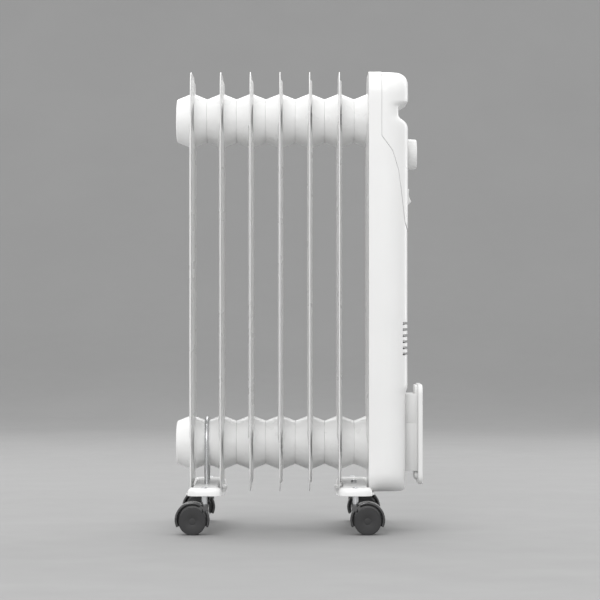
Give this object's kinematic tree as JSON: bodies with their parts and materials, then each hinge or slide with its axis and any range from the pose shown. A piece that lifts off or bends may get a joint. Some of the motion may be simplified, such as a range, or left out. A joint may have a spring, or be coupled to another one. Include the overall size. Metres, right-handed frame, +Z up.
{
  "type": "oil filled radiator heater",
  "caption": "Oil filled column radiator on swivelling twin-wheel casters, with a thermostat knob, rocker switches and a cord winder on its control housing.",
  "frame": {"origin": "on the floor, at the bottom centre of the whole heater's box", "axes": "+X towards the control end, +Y towards the heater's left, +Z up"},
  "size_m": [0.334, 0.255, 0.619],
  "materials": {
    "radiator_enamel": "gloss",
    "bracket_enamel": "gloss",
    "zinc_steel": "satin",
    "element_steel": "satin",
    "shield_steel": "satin",
    "housing_plastic": "semi-gloss",
    "control_plastic": "gloss",
    "lens_plastic": "gloss",
    "electric_plastic": "matte",
    "wire_insulation": "matte",
    "gasket_rubber": "matte",
    "gland_nylon": "matte",
    "caster_nylon": "gloss",
    "wheel_nylon": "satin"
  },
  "bodies": {
    "heater": {"bracket_bolt": "zinc_steel", "bracket_nut": "zinc_steel", "bracket_washer": "zinc_steel", "caster_bracket_back": "bracket_enamel", "caster_bracket_front": "bracket_enamel", "caster_stem_back_left": "zinc_steel", "caster_stem_back_right": "zinc_steel", "caster_stem_front_left": "zinc_steel", "caster_stem_front_right": "zinc_steel", "control_panel": "housing_plastic", "cord_gland": "gland_nylon", "cord_winder_flange": "housing_plastic", "cord_winder_spool": "housing_plastic", "element_flange": "element_steel", "element_gasket": "gasket_rubber", "filler_plug": "element_steel", "fin_section_1": "radiator_enamel", "fin_section_2": "radiator_enamel", "fin_section_3": "radiator_enamel", "fin_section_4": "radiator_enamel", "fin_section_5": "radiator_enamel", "fin_section_6": "radiator_enamel", "fin_section_7": "radiator_enamel", "heat_shield": "shield_steel", "heating_element_lower": "element_steel", "heating_element_upper": "element_steel", "housing_screws": "zinc_steel", "main_housing": "housing_plastic", "pilot_lamp": "lens_plastic", "switch_left": "electric_plastic", "switch_right": "electric_plastic", "terminal_block": "electric_plastic", "thermal_cutout": "electric_plastic", "thermostat": "electric_plastic", "u_bolt": "zinc_steel", "winder_screws": "zinc_steel", "wing_nuts": "zinc_steel", "wiring_harness": "wire_insulation"},
    "knob": {"thermostat_knob": "control_plastic", "thermostat_spindle": "zinc_steel"},
    "switch_rocker_left": {"rocker_left": "control_plastic"},
    "switch_rocker_right": {"rocker_right": "control_plastic"},
    "swivel_back_right": {"caster_hood_back_right": "caster_nylon"},
    "wheels_back_right": {"caster_axle_back_right": "zinc_steel", "caster_wheel_outer_back_right": "wheel_nylon", "caster_wheel_inner_back_right": "wheel_nylon"},
    "swivel_back_left": {"caster_hood_back_left": "caster_nylon"},
    "wheels_back_left": {"caster_axle_back_left": "zinc_steel", "caster_wheel_outer_back_left": "wheel_nylon", "caster_wheel_inner_back_left": "wheel_nylon"},
    "swivel_front_right": {"caster_hood_front_right": "caster_nylon"},
    "wheels_front_right": {"caster_axle_front_right": "zinc_steel", "caster_wheel_outer_front_right": "wheel_nylon", "caster_wheel_inner_front_right": "wheel_nylon"},
    "swivel_front_left": {"caster_hood_front_left": "caster_nylon"},
    "wheels_front_left": {"caster_axle_front_left": "zinc_steel", "caster_wheel_outer_front_left": "wheel_nylon", "caster_wheel_inner_front_left": "wheel_nylon"}
  },
  "joints": [
    {"name": "knob_turn", "type": "hinge", "parent": "heater", "child": "knob", "pos_m": [0.148, 0, 0.51], "axis": [-1, 0, 0], "range_deg": [0, 300]},
    {"name": "rocker_tilt_left", "type": "hinge", "parent": "heater", "child": "switch_rocker_left", "pos_m": [0.143, 0.012, 0.4517], "axis": [0, 1, 0], "range_deg": [0, 19]},
    {"name": "rocker_tilt_right", "type": "hinge", "parent": "heater", "child": "switch_rocker_right", "pos_m": [0.143, -0.012, 0.4517], "axis": [0, 1, 0], "range_deg": [0, 19]},
    {"name": "swivel_turn_back_right", "type": "hinge", "parent": "heater", "child": "swivel_back_right", "pos_m": [-0.125, -0.116, 0.0402], "axis": [0, 0, 1], "continuous": true},
    {"name": "wheel_roll_back_right", "type": "hinge", "parent": "swivel_back_right", "child": "wheels_back_right", "pos_m": [-0.141, -0.116, 0.0181], "axis": [0, 1, 0], "continuous": true},
    {"name": "swivel_turn_back_left", "type": "hinge", "parent": "heater", "child": "swivel_back_left", "pos_m": [-0.125, 0.116, 0.0402], "axis": [0, 0, 1], "continuous": true},
    {"name": "wheel_roll_back_left", "type": "hinge", "parent": "swivel_back_left", "child": "wheels_back_left", "pos_m": [-0.141, 0.116, 0.0181], "axis": [0, 1, 0], "continuous": true},
    {"name": "swivel_turn_front_right", "type": "hinge", "parent": "heater", "child": "swivel_front_right", "pos_m": [0.075, -0.116, 0.0402], "axis": [0, 0, 1], "continuous": true},
    {"name": "wheel_roll_front_right", "type": "hinge", "parent": "swivel_front_right", "child": "wheels_front_right", "pos_m": [0.091, -0.116, 0.0181], "axis": [0, 1, 0], "continuous": true},
    {"name": "swivel_turn_front_left", "type": "hinge", "parent": "heater", "child": "swivel_front_left", "pos_m": [0.075, 0.116, 0.0402], "axis": [0, 0, 1], "continuous": true},
    {"name": "wheel_roll_front_left", "type": "hinge", "parent": "swivel_front_left", "child": "wheels_front_left", "pos_m": [0.091, 0.116, 0.0181], "axis": [0, 1, 0], "continuous": true}
  ]
}
